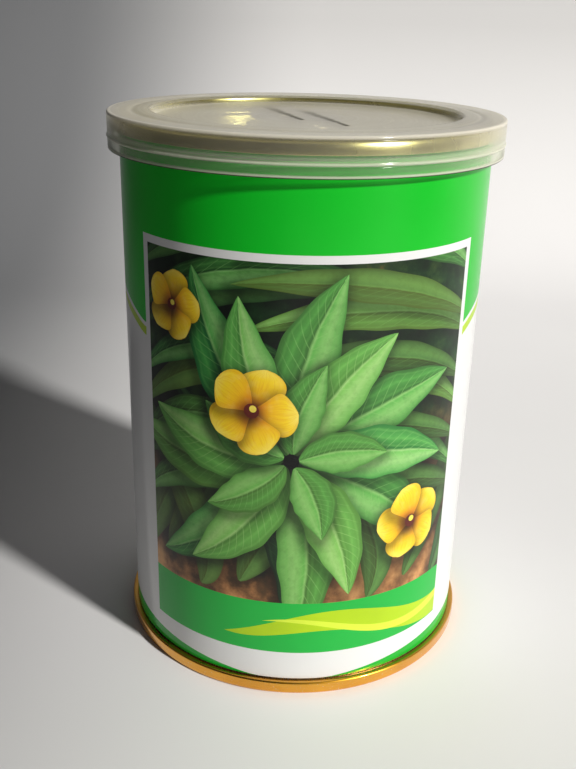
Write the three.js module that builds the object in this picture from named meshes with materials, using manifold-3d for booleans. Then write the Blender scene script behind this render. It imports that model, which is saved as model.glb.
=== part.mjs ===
// Round seed tin, 73 mm size: a tinplate body in a wrap-round label, two gold-lacquered ends
// double-seamed to it, a ring-pull on the upper end, a press-on plastic overcap and the seeds inside.
// Millimetres, +Z up. The origin is the middle of the face the tin stands on, and -Y is the front.
import * as THREE from 'three';
import { mergeVertices } from 'three/addons/utils/BufferGeometryUtils.js';
import Module from 'manifold-3d';

const wasm = await Module();
wasm.setup();

// Driving dimensions of the tin
const CAN_HEIGHT = 110.0;
const BODY_RADIUS = 36.3;
const BODY_WALL = 0.35;
const SHEET = 0.35;
const SEAM_RADIUS = 37.65;
const SEAM_HEIGHT = 2.7;
const SEGMENTS = 48;

// Layers of the double seam, from the chuck wall outwards
const CHUCK_WALL_RADIUS = 35.88;
const COVER_HOOK_IN = 36.4;
const COVER_HOOK_OUT = 36.7;
const BODY_HOOK_IN = 36.8;
const BODY_HOOK_OUT = 37.1;
const SEAM_WALL_IN = 37.2;
const SEAM_ROOF = 0.35;
const FLANGE_TOP = 0.45;
const BODY_HOOK_END = 2.1;
const COVER_HOOK_END = 1.1;

// The ends inside the seam, as depths below the seam's outer face
const PANEL_DEPTH = 3.0;
const DEBOSS_DEPTH = 3.35;
const COUNTERSINK_DEPTH = 4.3;
const COUNTERSINK_RADIUS = 34.5;
const PANEL_RADIUS = 33.4;
const SCORE_RADIUS = 32.4;
const SCORE_DEPTH = 0.14;
const BEAD_RADII = [14.0, 23.0, 30.0];

// Label
const LABEL_IN = 36.36;
const LABEL_OUT = 36.5;
const LABEL_GAP = 0.35;
const LABEL_LAP = 0.12;
const LAP_FACETS = 2;

// Ring-pull and its rivet, on a radius of the tin
const TAB_AZIMUTH = THREE.MathUtils.degToRad(19);
const TAB_NOSE = -31.2;
const TAB_LENGTH = 39.0;
const TAB_UNDERSIDE = 107.65;
const TAB_THICKNESS = 0.9;
const NOSE_HALF_WIDTH = 4.8;
const RING_HALF_WIDTH = 8.6;
const FINGER_HALF_WIDTH = 4.5;
const FINGER_LENGTH = 17.5;
const RING_BAND = 3.6;
const TAB_SHOULDER = 14.0;
const RIVET_FROM_NOSE = 6.0;
const RIVET_STEM = 1.9;
const RIVET_HEAD = 2.9;
const RIVET_HOLE = 2.35;
const RIVET_SEAT = 3.6;
const RIVET_SEAT_DEPTH = 0.46;
const RIVET_HEAD_DEPTH = 0.4;
const RIVET_CROWN_DEPTH = 0.1;
const RIVET_SIDES = 20;

// Overcap
const CAP_RADIUS = 38.7;
const CAP_BEAD_RADIUS = 38.88;
const CAP_WALL = 0.6;
const CAP_FOOT = 103.74;
const CAP_BEAD_HEIGHT = 106.08;
const CAP_TOP = 110.65;
const CAP_CREST = 110.8;
const CAP_PANEL = 109.35;
const CAP_PANEL_RADIUS = 29.2;
const CAP_CREST_RADIUS = 31.2;
const CAP_GROOVE_RADIUS = 33.9;
const SNAP_RADIUS = 37.5;

// Seeds
const SEED_RADIUS = 35.6;
const SEED_LEVEL = 45.0;
const SEED_SIZE = 4.6;
const SEED_RINGS = 11;

const goldLacquer = new THREE.MeshStandardMaterial({ color: 0xc98a1c, roughness: 0.32, metalness: 0.9 });
const tinplate = new THREE.MeshStandardMaterial({ color: 0xb9b8b2, roughness: 0.35, metalness: 0.9 });
const labelPrint = new THREE.MeshStandardMaterial({ color: 0x0fa52a, roughness: 0.25, metalness: 0.0 });
const ringPull = new THREE.MeshStandardMaterial({ color: 0xd6cfb8, roughness: 0.3, metalness: 0.9 });
const overcap = new THREE.MeshStandardMaterial({
  color: 0xd9d5c8, roughness: 0.35, metalness: 0.0, transparent: true, opacity: 0.5,
});
const seeds = new THREE.MeshStandardMaterial({ color: 0x4d5238, roughness: 0.8, metalness: 0.0 });

const tin = new THREE.Group();

function add(name, geometry, material) {
  const mesh = new THREE.Mesh(geometry, material);
  mesh.name = name;
  tin.add(mesh);
  return mesh;
}

// A ring or disc turned from [radius, height] pairs listed anticlockwise, closed on itself or the axis.
function turned(profile, sides = SEGMENTS) {
  const points = profile.map(([r, z]) => new THREE.Vector2(r, z));
  const onAxis = profile[0][0] === 0 && profile[profile.length - 1][0] === 0;
  if (!onAxis) {
    points.push(points[0].clone());
  }
  return new THREE.LatheGeometry(points, sides).rotateX(Math.PI / 2);
}

function toSolid(geometry) {
  const bare = geometry.clone();
  bare.deleteAttribute('normal');
  bare.deleteAttribute('uv');
  const merged = mergeVertices(bare, 1e-4);
  return new wasm.Manifold(new wasm.Mesh({
    numProp: 3,
    vertProperties: new Float32Array(merged.attributes.position.array),
    triVerts: new Uint32Array(merged.index.array),
  }));
}

function toGeometry(solid) {
  const { vertProperties, triVerts } = solid.getMesh();
  const geometry = new THREE.BufferGeometry();
  geometry.setAttribute('position', new THREE.BufferAttribute(vertProperties, 3));
  geometry.setIndex(new THREE.BufferAttribute(triVerts, 1));
  geometry.computeVertexNormals();
  return geometry;
}

// Places [radius, depth] pairs on the upper end of the tin, or mirrored on its lower one.
function onEnd(profile, upper) {
  const placed = profile.map(([r, depth]) => [r, upper ? CAN_HEIGHT - depth : depth]);
  return upper ? placed.reverse() : placed;
}

// Outer face of an end from its middle to the countersink. The upper one is scored to tear open.
function panelFace(scored) {
  const [inner, middle, outer] = BEAD_RADII;
  const beads = [
    [0, PANEL_DEPTH],
    [inner, PANEL_DEPTH],
    [inner + 0.8, DEBOSS_DEPTH],
    [middle, DEBOSS_DEPTH],
    [middle + 0.8, PANEL_DEPTH],
  ];
  const deboss = [
    [0, DEBOSS_DEPTH],
    [outer, DEBOSS_DEPTH],
    [outer + 0.8, PANEL_DEPTH],
  ];
  const score = [
    [SCORE_RADIUS - 0.2, PANEL_DEPTH],
    [SCORE_RADIUS, PANEL_DEPTH + SCORE_DEPTH],
    [SCORE_RADIUS + 0.2, PANEL_DEPTH],
  ];
  return scored ? [...deboss, ...score] : beads;
}

// Inner face of the same panel, one sheet deeper, from the countersink back to the middle.
function panelBack(scored) {
  const face = panelFace(scored).filter(([, depth]) => depth === PANEL_DEPTH || depth === DEBOSS_DEPTH);
  const plain = face.filter(([r]) => Math.abs(r - SCORE_RADIUS) > 0.3);
  return plain.reverse().map(([r, depth]) => [r, depth + SHEET]);
}

// Section of an end: panel, countersink, chuck wall, seam roof and wall, cover hook, and back inside.
function endProfile(scored) {
  return [
    ...panelFace(scored),
    [PANEL_RADIUS, PANEL_DEPTH],
    [PANEL_RADIUS + 0.55, PANEL_DEPTH + 0.35],
    [COUNTERSINK_RADIUS - 0.3, COUNTERSINK_DEPTH - 0.2],
    [COUNTERSINK_RADIUS, COUNTERSINK_DEPTH],
    [COUNTERSINK_RADIUS + 0.35, COUNTERSINK_DEPTH - 0.25],
    [CHUCK_WALL_RADIUS - SHEET, 0.6],
    [CHUCK_WALL_RADIUS - 0.05, 0.1],
    [CHUCK_WALL_RADIUS + 0.35, 0],
    [SEAM_RADIUS - 0.45, 0],
    [SEAM_RADIUS - 0.1, 0.15],
    [SEAM_RADIUS, 0.5],
    [SEAM_RADIUS, SEAM_HEIGHT - 0.5],
    [SEAM_RADIUS - 0.2, SEAM_HEIGHT - 0.1],
    [SEAM_RADIUS - 0.5, SEAM_HEIGHT],
    [COVER_HOOK_IN + 0.2, SEAM_HEIGHT],
    [COVER_HOOK_IN, SEAM_HEIGHT - 0.2],
    [COVER_HOOK_IN, COVER_HOOK_END],
    [COVER_HOOK_OUT, COVER_HOOK_END],
    [COVER_HOOK_OUT, SEAM_HEIGHT - SHEET],
    [SEAM_WALL_IN, SEAM_HEIGHT - SHEET],
    [SEAM_WALL_IN, SEAM_ROOF],
    [CHUCK_WALL_RADIUS + 0.12, SEAM_ROOF],
    [CHUCK_WALL_RADIUS, SEAM_ROOF + 0.25],
    [COUNTERSINK_RADIUS + 0.75, COUNTERSINK_DEPTH],
    [COUNTERSINK_RADIUS, COUNTERSINK_DEPTH + SHEET],
    [COUNTERSINK_RADIUS - 0.7, COUNTERSINK_DEPTH + 0.05],
    [PANEL_RADIUS + 0.1, PANEL_DEPTH + SHEET + 0.15],
    ...panelBack(scored),
  ];
}

// Body: a tube whose two edges are flanged out and folded back into the seams as body hooks.
function bodyProfile() {
  const inside = BODY_RADIUS - BODY_WALL;
  const flange = [
    [inside, FLANGE_TOP + 0.2],
    [inside + 0.2, FLANGE_TOP],
    [BODY_HOOK_OUT, FLANGE_TOP],
    [BODY_HOOK_OUT, BODY_HOOK_END],
    [BODY_HOOK_IN, BODY_HOOK_END],
    [BODY_HOOK_IN, FLANGE_TOP + BODY_WALL],
    [BODY_RADIUS, FLANGE_TOP + BODY_WALL],
  ];
  const upper = flange.map(([r, depth]) => [r, CAN_HEIGHT - depth]).reverse();
  return [...flange, ...upper];
}

// Label: one turn round the body between the seams, with its lap at the back.
function labelGeometry() {
  const step = (2 * Math.PI) / SEGMENTS;
  const back = SEGMENTS / 2;
  const outline = [];
  for (let k = 0; k < SEGMENTS; k += 1) {
    const fromBack = k - back;
    const lapped = Math.abs(fromBack) <= LAP_FACETS / 2;
    const starts = fromBack === -LAP_FACETS / 2;
    const ends = fromBack === LAP_FACETS / 2;
    const radii = lapped ? [LABEL_OUT + LABEL_LAP] : [LABEL_OUT];
    if (starts) {
      radii.unshift(LABEL_OUT);
    }
    if (ends) {
      radii.push(LABEL_OUT);
    }
    for (const r of radii) {
      outline.push(new THREE.Vector2(r * Math.sin(k * step), -r * Math.cos(k * step)));
    }
  }
  const bore = [];
  for (let k = 0; k < SEGMENTS; k += 1) {
    bore.push(new THREE.Vector2(LABEL_IN * Math.sin(k * step), -LABEL_IN * Math.cos(k * step)));
  }
  const shape = new THREE.Shape(outline);
  shape.holes.push(new THREE.Path(bore));
  const bottom = SEAM_HEIGHT + LABEL_GAP;
  const depth = CAN_HEIGHT - 2 * bottom;
  return new THREE.ExtrudeGeometry(shape, { depth, bevelEnabled: false }).translate(0, 0, bottom);
}

// Moves what stands on the axis to its distance from the nose of the ring-pull, along the tab.
function alongTab(geometry, fromNose) {
  return geometry.translate(0, -(TAB_NOSE + fromNose), 0).rotateZ(TAB_AZIMUTH);
}

function rivetGeometry() {
  const foot = CAN_HEIGHT - DEBOSS_DEPTH - SHEET / 2;
  const tabTop = TAB_UNDERSIDE + TAB_THICKNESS;
  const underHead = tabTop - RIVET_HEAD_DEPTH;
  const crown = tabTop - RIVET_CROWN_DEPTH;
  const rivet = turned([
    [0, foot],
    [RIVET_STEM, foot],
    [RIVET_STEM, underHead],
    [RIVET_HEAD, underHead],
    [RIVET_HEAD - 0.3, crown],
    [0, crown],
  ], RIVET_SIDES);
  return alongTab(rivet, RIVET_FROM_NOSE);
}

function topEndGeometry() {
  const plate = toSolid(turned(onEnd(endProfile(true), true)));
  return toGeometry(plate.add(toSolid(rivetGeometry())));
}

// Ring-pull: a narrow nose that widens into the finger ring, with a sunk seat round the rivet.
function tabGeometry() {
  const ringCentre = TAB_LENGTH - RING_HALF_WIDTH;
  const nose = NOSE_HALF_WIDTH;
  const ring = RING_HALF_WIDTH;
  const outline = new THREE.Shape();
  outline.absarc(0, -nose, nose, 0, Math.PI, false);
  outline.bezierCurveTo(-nose, -TAB_SHOULDER, -ring, -TAB_SHOULDER, -ring, -ringCentre);
  outline.absarc(0, -ringCentre, ring, Math.PI, 2 * Math.PI, false);
  outline.bezierCurveTo(ring, -TAB_SHOULDER, nose, -TAB_SHOULDER, nose, -nose);
  const finger = new THREE.Path();
  const far = TAB_LENGTH - RING_BAND - FINGER_HALF_WIDTH;
  const near = far - (FINGER_LENGTH - 2 * FINGER_HALF_WIDTH);
  finger.absarc(0, -near, FINGER_HALF_WIDTH, 0, Math.PI, false);
  finger.absarc(0, -far, FINGER_HALF_WIDTH, Math.PI, 2 * Math.PI, false);
  outline.holes.push(finger);
  const plate = new THREE.ExtrudeGeometry(outline, {
    depth: TAB_THICKNESS, bevelEnabled: false, curveSegments: 8,
  });
  plate.translate(0, -TAB_NOSE, TAB_UNDERSIDE).rotateZ(TAB_AZIMUTH);
  const below = TAB_UNDERSIDE - 1;
  const above = TAB_UNDERSIDE + TAB_THICKNESS + 1;
  const seatFloor = TAB_UNDERSIDE + TAB_THICKNESS - RIVET_SEAT_DEPTH;
  const seat = turned([
    [0, below],
    [RIVET_HOLE, below],
    [RIVET_HOLE, seatFloor],
    [RIVET_SEAT, seatFloor],
    [RIVET_SEAT, above],
    [0, above],
  ], RIVET_SIDES);
  return toGeometry(toSolid(plate).subtract(toSolid(alongTab(seat, RIVET_FROM_NOSE))));
}

// Overcap section: recessed panel, crested rim with a shallow groove, skirt, snap bead, and back inside.
function capProfile() {
  const under = CAP_TOP - CAP_WALL;
  return [
    [0, CAP_PANEL - CAP_WALL],
    [CAP_PANEL_RADIUS + 0.1, CAP_PANEL - CAP_WALL],
    [CAP_PANEL_RADIUS + 0.8, CAP_PANEL - CAP_WALL + 0.35],
    [CAP_CREST_RADIUS - 0.1, CAP_CREST - CAP_WALL],
    [CAP_GROOVE_RADIUS, under - 0.02],
    [CAP_RADIUS - CAP_WALL - 0.5, under],
    [CAP_RADIUS - CAP_WALL, under - 0.4],
    [CAP_RADIUS - CAP_WALL, CAP_BEAD_HEIGHT + 0.8],
    [SNAP_RADIUS, CAP_BEAD_HEIGHT + 0.35],
    [SNAP_RADIUS, CAP_BEAD_HEIGHT],
    [CAP_RADIUS - CAP_WALL, CAP_BEAD_HEIGHT - 0.5],
    [CAP_RADIUS - CAP_WALL, CAP_FOOT],
    [CAP_RADIUS - 0.2, CAP_FOOT],
    [CAP_RADIUS, CAP_FOOT + 0.2],
    [CAP_RADIUS, CAP_BEAD_HEIGHT - 0.3],
    [CAP_BEAD_RADIUS, CAP_BEAD_HEIGHT - 0.12],
    [CAP_BEAD_RADIUS, CAP_BEAD_HEIGHT + 0.12],
    [CAP_RADIUS, CAP_BEAD_HEIGHT + 0.3],
    [CAP_RADIUS, CAP_TOP - 0.6],
    [CAP_RADIUS - 0.15, CAP_TOP - 0.25],
    [CAP_RADIUS - 0.6, CAP_TOP],
    [CAP_GROOVE_RADIUS + 0.7, CAP_TOP],
    [CAP_GROOVE_RADIUS, CAP_TOP - 0.12],
    [CAP_GROOVE_RADIUS - 0.7, CAP_TOP + 0.05],
    [CAP_CREST_RADIUS + 0.3, CAP_CREST],
    [CAP_CREST_RADIUS - 0.4, CAP_CREST],
    [CAP_PANEL_RADIUS + 0.5, CAP_PANEL + 0.25],
    [CAP_PANEL_RADIUS, CAP_PANEL],
    [0, CAP_PANEL],
  ];
}

// Height of the loose seeds at a point: rounded bumps one seed wide over a gentle heap.
function seedHeight(x, y) {
  const u = (2 * Math.PI * x) / SEED_SIZE;
  const v = (2 * Math.PI * y) / SEED_SIZE;
  const bumps = 0.45 * (Math.cos(u + 0.6 * Math.sin(v)) + Math.cos(v - 0.8 * Math.sin(0.7 * u)));
  const heap = 2.2 * Math.cos((Math.PI * Math.hypot(x - 5, y + 3)) / 90);
  return SEED_LEVEL + bumps + heap;
}

// Seeds: one settled mass, flat where it rests on the lower end and raised by a formula on top.
function seedGeometry() {
  const onPanel = DEBOSS_DEPTH + SHEET + 0.08;
  const onCountersink = COUNTERSINK_DEPTH + SHEET + 0.1;
  const profile = [
    [0, onPanel],
    [PANEL_RADIUS - 0.6, onPanel],
    [PANEL_RADIUS - 0.2, onCountersink],
    [SEED_RADIUS, onCountersink],
    [SEED_RADIUS, SEED_LEVEL],
  ];
  for (let ring = SEED_RINGS - 1; ring >= 0; ring -= 1) {
    profile.push([(SEED_RADIUS * ring) / SEED_RINGS, SEED_LEVEL]);
  }
  const geometry = turned(profile);
  const position = geometry.attributes.position;
  for (let i = 0; i < position.count; i += 1) {
    if (position.getZ(i) > SEED_LEVEL - 0.01) {
      const x = position.getX(i);
      const y = position.getY(i);
      position.setZ(i, seedHeight(Math.round(x * 1e4) / 1e4, Math.round(y * 1e4) / 1e4));
    }
  }
  geometry.computeVertexNormals();
  return geometry;
}

add('can_body', turned(bodyProfile()), tinplate);
add('label', labelGeometry(), labelPrint);
add('bottom_end', turned(onEnd(endProfile(false), false)), goldLacquer);
add('top_end', topEndGeometry(), goldLacquer);
add('pull_tab', tabGeometry(), ringPull);
add('overcap_lid', turned(capProfile()), overcap);
add('seed_fill', seedGeometry(), seeds);

export default tin;
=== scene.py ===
"""Dresses the seed tin: turned metal ends and body, a printed wrap-round label, a ring-pull,
a translucent overcap and loose seeds. Sizes are in millimetres until a mesh is made."""
import itertools
import math
import random

import bmesh
import bpy
import numpy as np
from mathutils import Matrix, Vector
from mathutils.geometry import delaunay_2d_cdt


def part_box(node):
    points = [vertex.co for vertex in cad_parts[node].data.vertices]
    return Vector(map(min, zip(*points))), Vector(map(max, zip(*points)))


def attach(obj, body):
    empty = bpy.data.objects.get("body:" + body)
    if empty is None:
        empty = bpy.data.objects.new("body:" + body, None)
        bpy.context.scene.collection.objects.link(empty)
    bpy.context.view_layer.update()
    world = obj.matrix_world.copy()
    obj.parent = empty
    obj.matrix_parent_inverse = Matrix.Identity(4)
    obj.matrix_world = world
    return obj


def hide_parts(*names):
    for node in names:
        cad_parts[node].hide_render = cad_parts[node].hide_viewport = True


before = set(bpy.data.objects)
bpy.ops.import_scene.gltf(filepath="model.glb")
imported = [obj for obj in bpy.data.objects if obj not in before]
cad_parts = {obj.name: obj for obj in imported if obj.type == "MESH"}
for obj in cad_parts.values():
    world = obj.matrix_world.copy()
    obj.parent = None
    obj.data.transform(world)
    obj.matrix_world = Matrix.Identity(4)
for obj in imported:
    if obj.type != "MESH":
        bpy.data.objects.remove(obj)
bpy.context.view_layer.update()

MM = 0.001


def in_mm(node):
    """A node's lowest and highest corners in millimetres."""
    low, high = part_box(node)
    return [c / MM for c in low], [c / MM for c in high]


# Driving sizes, read from the frame
label_low, label_high = in_mm("label")
cap_low, cap_high = in_mm("overcap_lid")
tab_low, tab_high = in_mm("pull_tab")
seed_low, seed_high = in_mm("seed_fill")

CAN_HEIGHT = in_mm("top_end")[1][2]
SEAM_RADIUS = in_mm("bottom_end")[1][0]
SEAM_HEIGHT = 2.7
LABEL_RADIUS = label_high[0]
LABEL_FOOT, LABEL_TOP = label_low[2], label_high[2] + 0.25
LABEL_THICKNESS = 0.1
LABEL_LAP = 0.11
BODY_RADIUS = LABEL_RADIUS - 0.2
SHEET = 0.3
SIDES = 240

# The overcap: heights above the table, then radii
CAP_FOOT, CAP_CREST = cap_low[2], cap_high[2]
CAP_BEAD = CAP_FOOT + 2.34
CAP_TOP = CAP_CREST - 0.15
CAP_PANEL = CAP_CREST - 1.45
CAP_BEAD_RADIUS = cap_high[0]
CAP_RADIUS = CAP_BEAD_RADIUS - 0.18
CAP_PANEL_RADIUS = 29.7
CAP_CREST_RADII = (30.4, 31.6)
CAP_GROOVE_RADIUS = 33.9
CAP_GROOVE_HALF = 0.9
CAP_WALL = 0.55
CAP_CATCH = 0.55

# The ring-pull's turn from the front
TAB_TURN = math.radians(19.0)


# Meshes

def linked(name, data):
    """A new object with this data, in the scene."""
    thing = bpy.data.objects.new(name, data)
    bpy.context.scene.collection.objects.link(thing)
    return thing


def mesh_object(name, vertices, faces, *materials):
    """An object at the origin from millimetre vertices."""
    mesh = bpy.data.meshes.new(name)
    mesh.from_pydata([tuple(c * MM for c in v) for v in vertices], [], faces)
    mesh.validate()
    mesh.update()
    mesh.shade_smooth()
    for material in materials:
        mesh.materials.append(material)
    return linked(name, mesh)


def rounded(corners, closed=False, steps=5):
    """Points of an outline whose [r, z, reach] corners are eased by that reach on both sides."""
    points = []
    count = len(corners)
    for i, corner in enumerate(corners):
        here = Vector(corner[:2])
        reach = corner[2] if len(corner) > 2 else 0.0
        if reach == 0.0 or (not closed and i in (0, count - 1)):
            points.append(here)
            continue
        before = Vector(corners[i - 1][:2]) - here
        after = Vector(corners[(i + 1) % count][:2]) - here
        start = here + before.normalized() * min(reach, 0.49 * before.length)
        end = here + after.normalized() * min(reach, 0.49 * after.length)
        for k in range(steps + 1):
            t = k / steps
            points.append(start * (1 - t) ** 2 + here * (2 * t * (1 - t)) + end * t * t)
    return [(p.x, p.y) for p in points]


def turned_mesh(profile, sides=SIDES, closed=False, centre=(0.0, 0.0)):
    """A profile turned about a vertical axis. It runs with the solid on its left."""
    vertices, faces, rings = [], [], []
    turns = [2 * math.pi * k / sides for k in range(sides)]
    for r, z in profile:
        first = len(vertices)
        if r < 1e-6:
            rings.append([first] * sides)
            vertices.append((*centre, z))
        else:
            rings.append(range(first, first + sides))
            vertices += [(centre[0] + r * math.sin(a), centre[1] - r * math.cos(a), z) for a in turns]
    for low, high in zip(rings, rings[1:] + rings[:1] if closed else rings[1:]):
        for k in range(sides):
            n = (k + 1) % sides
            corner = [low[k], low[n], high[n], high[k]]
            face = [v for i, v in enumerate(corner) if v != corner[i - 1]]
            if len(face) > 2:
                faces.append(face)
    return vertices, faces


def joined(parts):
    """One list of vertices and faces from several."""
    vertices, faces = [], []
    for more_vertices, more_faces in parts:
        start = len(vertices)
        vertices += more_vertices
        faces += [[start + v for v in face] for face in more_faces]
    return vertices, faces


def triangulated(points, loops):
    """Flat points, their anticlockwise triangles, and the loops that each triangle lies in."""
    flat, _, triangles, _, _, owners = delaunay_2d_cdt([Vector(p) for p in points], [], loops, 0, 1e-4)
    flat = np.array([tuple(p) for p in flat])
    faces = []
    for triangle in triangles:
        a, b, c = flat[triangle]
        clockwise = (b[0] - a[0]) * (c[1] - a[1]) < (b[1] - a[1]) * (c[0] - a[0])
        faces.append(triangle[::-1] if clockwise else triangle)
    return flat, faces, owners


def open_edges(faces):
    """The edges that only one face has."""
    edges = dict.fromkeys((face[i - 1], v) for face in faces for i, v in enumerate(face))
    return [(a, b) for a, b in edges if (b, a) not in edges]


def finished(piece, node):
    """Gives a piece its place in the frame and hides the part that it replaces."""
    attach(piece, "root")
    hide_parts(node)


def turned_piece(name, parts, material, node):
    """A turned piece, its flat faces kept flat beside their eased edges."""
    piece = mesh_object(name, *joined(parts), material)
    modifier = piece.modifiers.new("EvenShading", "WEIGHTED_NORMAL")
    modifier.keep_sharp = True
    modifier.weight = 60
    finished(piece, node)


# Materials

class Shader:
    """A material's node tree, with short ways to add the nodes used here."""

    def __init__(self, name):
        self.material = bpy.data.materials.new(name)
        self.material.use_nodes = True
        self.tree = self.material.node_tree
        self.tree.nodes.clear()

    def feed(self, socket, value):
        if isinstance(value, bpy.types.NodeSocket):
            self.tree.links.new(value, socket)
        else:
            socket.default_value = (*value, 1.0) if socket.type == "RGBA" else value

    def put(self, kind, inputs=None, **settings):
        node = self.tree.nodes.new(kind)
        for key, value in settings.items():
            setattr(node, key, value)
        for key, value in (inputs or {}).items():
            self.feed(node.inputs[key], value)
        return node

    def math(self, operation, a, b=0.0, clamp=False):
        node = self.put("ShaderNodeMath", {0: a, 1: b}, operation=operation, use_clamp=clamp)
        return node.outputs[0]

    def times(self, a, b, clamp=False):
        return self.math("MULTIPLY", a, b, clamp)

    def plus(self, a, b, clamp=False):
        return self.math("ADD", a, b, clamp)

    def minus(self, a, b, clamp=False):
        return self.math("SUBTRACT", a, b, clamp)

    def gap(self, a, b):
        return self.math("ABSOLUTE", self.minus(a, b))

    def place(self):
        return self.put("ShaderNodeTexCoord").outputs["Object"]

    def split(self, vector):
        return self.put("ShaderNodeSeparateXYZ", {0: vector}).outputs

    def vector(self, x, y, z):
        return self.put("ShaderNodeCombineXYZ", {0: x, 1: y, 2: z}).outputs[0]

    def scaled(self, vector, scale):
        return self.put("ShaderNodeMapping", {"Vector": vector, "Scale": scale}).outputs[0]

    def attribute(self, name, output="Vector"):
        return self.put("ShaderNodeAttribute", attribute_name=name).outputs[output]

    def noise(self, vector, scale, detail=3.0, roughness=0.5):
        inputs = {"Vector": vector, "Scale": scale, "Detail": detail, "Roughness": roughness}
        return self.put("ShaderNodeTexNoise", inputs).outputs["Fac"]

    def mix(self, factor, a, b, blend="MIX"):
        node = self.put("ShaderNodeMix", data_type="RGBA", blend_type=blend)
        for index, value in ((0, factor), (6, a), (7, b)):
            self.feed(node.inputs[index], value)
        return node.outputs[2]

    def blend(self, noise, a, b):
        """From a to b over the middle of a noise's range."""
        return self.mix(self.level(noise, 0.3, 0.7), a, b)

    def ramp(self, factor, stops):
        node = self.put("ShaderNodeValToRGB", {0: factor})
        elements = node.color_ramp.elements
        while len(elements) < len(stops):
            elements.new(0.5)
        for element, (position, colour) in zip(elements, stops):
            element.position = position
            element.color = (*colour, 1.0)
        return node.outputs[0]

    def level(self, value, low, high, to_low=0.0, to_high=1.0, smooth=False):
        inputs = {0: value, 1: low, 2: high, 3: to_low, 4: to_high}
        kind = "SMOOTHSTEP" if smooth else "LINEAR"
        return self.put("ShaderNodeMapRange", inputs, interpolation_type=kind).outputs[0]

    def span(self, value, start, end):
        """0 to 1 between two places in millimetres."""
        return self.level(value, start * MM, end * MM)

    def bump(self, height, distance, strength=1.0, normal=None):
        inputs = {"Height": height, "Distance": distance, "Strength": strength}
        if normal is not None:
            inputs["Normal"] = normal
        return self.put("ShaderNodeBump", inputs).outputs[0]

    def surface(self, shader):
        self.put("ShaderNodeOutputMaterial", {"Surface": shader})
        return self.material

    def principled(self, **inputs):
        named = {key.replace("_", " "): value for key, value in inputs.items()}
        return self.put("ShaderNodeBsdfPrincipled", named).outputs[0]

    def reach(self, x, y):
        return self.math("SQRT", self.plus(self.times(x, x), self.times(y, y)))

    def round_place(self, radius):
        """Object coordinates unrolled round the tin: arc length, radius and height in metres."""
        x, y, z = self.split(self.place())
        turn = self.math("ARCTAN2", x, self.times(y, -1.0))
        return self.times(turn, radius * MM), self.reach(x, y), z


def gold_lacquer(name, deep, bright, glint, smoothest=0.24):
    """Transparent gold lacquer over tinplate, with rolling lines, small scuffs and soft blotches."""
    sh = Shader(name)
    arc, out, z = sh.round_place(SEAM_RADIUS)
    place = sh.place()
    rolled = sh.noise(sh.vector(sh.times(arc, 0.02), out, z), 9000.0, 2.0)
    blotch = sh.noise(place, 60.0, 4.0)
    tone = sh.blend(blotch, deep, bright)
    tone = sh.mix(sh.level(rolled, 0.35, 0.75, 0.0, 0.35), tone, glint)
    specks = sh.noise(place, 2600.0, 2.0, 0.7)
    tone = sh.mix(sh.level(specks, 0.66, 0.72, 0.0, 0.8), tone, (0.74, 0.66, 0.52))
    rough = sh.level(blotch, 0.3, 0.7, smoothest, smoothest + 0.1)
    height = sh.plus(sh.times(rolled, 0.5), sh.times(specks, 0.3))
    return sh.surface(sh.principled(
        Base_Color=tone, Metallic=1.0, Roughness=rough, Normal=sh.bump(height, 0.00002, 0.5),
        Coat_Weight=0.8, Coat_Roughness=0.06, Coat_IOR=1.5))


def bright_metal(name, dark, light, line_scale):
    """Bare bright metal with fine drawing lines and soft tarnish."""
    sh = Shader(name)
    place = sh.place()
    drawn = sh.noise(sh.scaled(place, (1.0, 1.0, 0.04)), line_scale, 2.0)
    cloud = sh.noise(place, 90.0, 4.0)
    tone = sh.blend(cloud, dark, light)
    rough = sh.level(drawn, 0.3, 0.7, 0.22, 0.36)
    return sh.surface(sh.principled(
        Base_Color=tone, Metallic=1.0, Roughness=rough, Normal=sh.bump(drawn, 0.00001, 0.4)))


# Painted shade where the ring-pull presses on the overcap's panel from below: start and end along it, and
# offset from it
TAB_SHADE_STROKES = ((-24.0, 4.6, -2.4), (-16.7, 14.9, 3.05))


def tab_contact_shade(sh, place):
    """Two dull dark strokes of painted shade on the panel where the ring-pull lies under it, sharp at the
    free end of the ring-pull and fading away from it.
    """
    x, y, _ = sh.split(sh.scaled(place, (1 / MM, 1 / MM, 1 / MM)))
    c, s = math.cos(TAB_TURN), math.sin(TAB_TURN)
    along = sh.minus(sh.times(x, s), sh.times(y, c))
    across = sh.plus(sh.times(x, c), sh.times(y, s))
    ragged = sh.times(sh.minus(sh.noise(place, 700.0, 3.0), 0.5), 1.1)
    tab_shade = None
    for start, end, offset in TAB_SHADE_STROKES:
        nearness = sh.level(along, start, end)
        width = sh.level(nearness, 0.0, 1.0, 2.3, 0.9)
        gap = sh.gap(sh.plus(across, ragged), offset)
        inside = sh.level(sh.math("DIVIDE", gap, width), 1.0, 0.3)
        ends = sh.times(sh.level(along, start, start + 9), sh.level(along, end + 0.5, end))
        stroke = sh.times(sh.times(inside, ends), sh.level(nearness, 0, 1, 0.45, 1.0))
        tab_shade = stroke if tab_shade is None else sh.math("MAXIMUM", tab_shade, stroke)
    return tab_shade


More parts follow.
